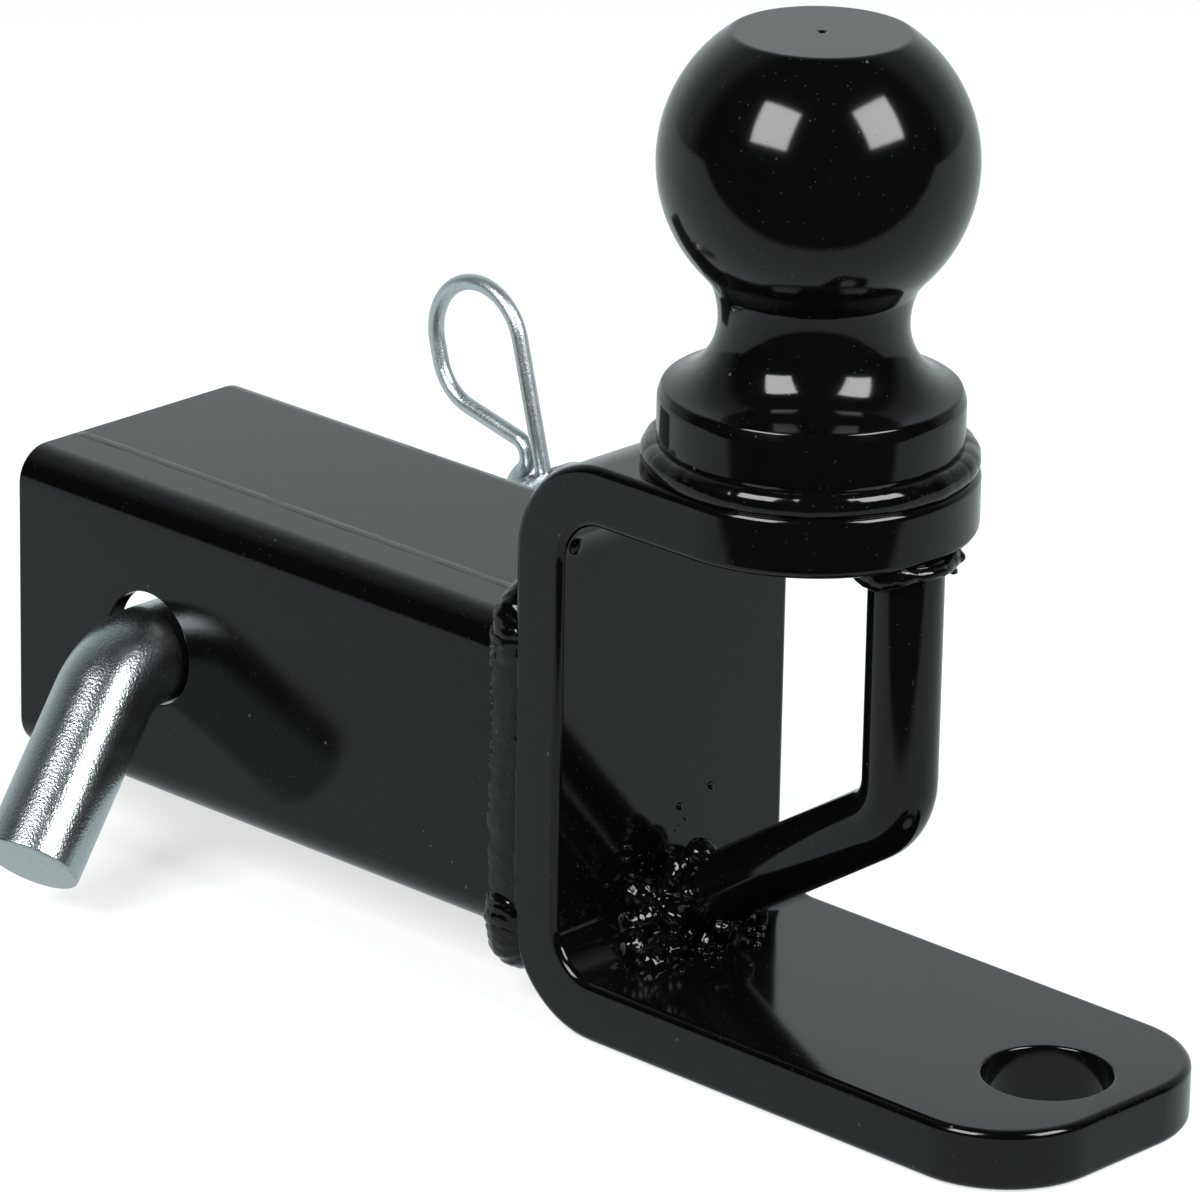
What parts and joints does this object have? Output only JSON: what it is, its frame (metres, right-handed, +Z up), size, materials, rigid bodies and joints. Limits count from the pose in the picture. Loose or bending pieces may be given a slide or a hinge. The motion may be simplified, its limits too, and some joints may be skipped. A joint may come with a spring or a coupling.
{
  "type": "trailer hitch with ball",
  "caption": "Receiver hitch: square tube shank, bent bar with a hitch ball on top, a tow loop and a drawbar pin hole, with its bent pin and spring clip.",
  "frame": {"origin": "where the axis of the receiver pin hole crosses the middle of the shank", "axes": "+X along the shank from its open end towards the tongue, +Z up towards the ball, +Y to the left, the side the spring clip is on"},
  "size_m": [0.212, 0.1368, 0.1582],
  "materials": {
    "black_enamel": "gloss",
    "bead_enamel": "gloss",
    "zinc": "satin"
  },
  "bodies": {
    "hitch": {"shank_tube": "black_enamel", "bracket_plate": "black_enamel", "hitch_ball": "black_enamel", "tow_loop": "black_enamel", "weld_ball_ring": "bead_enamel", "weld_loop_top": "bead_enamel", "weld_loop_foot": "bead_enamel", "weld_shank_top": "bead_enamel", "weld_shank_bottom": "bead_enamel", "weld_shank_left": "bead_enamel", "weld_shank_right": "bead_enamel"},
    "pin": {"hitch_pin": "zinc"},
    "clip": {"r_clip": "zinc"}
  },
  "joints": [
    {"name": "pin_slide", "type": "slide", "parent": "hitch", "child": "pin", "axis": [0, -1, 0], "range_m": [0, 0.038]},
    {"name": "clip_pull", "type": "slide", "parent": "pin", "child": "clip", "axis": [-0.2588, 0, 0.9659], "range_m": [0, 0.045], "deforming": ["r_clip"]}
  ]
}
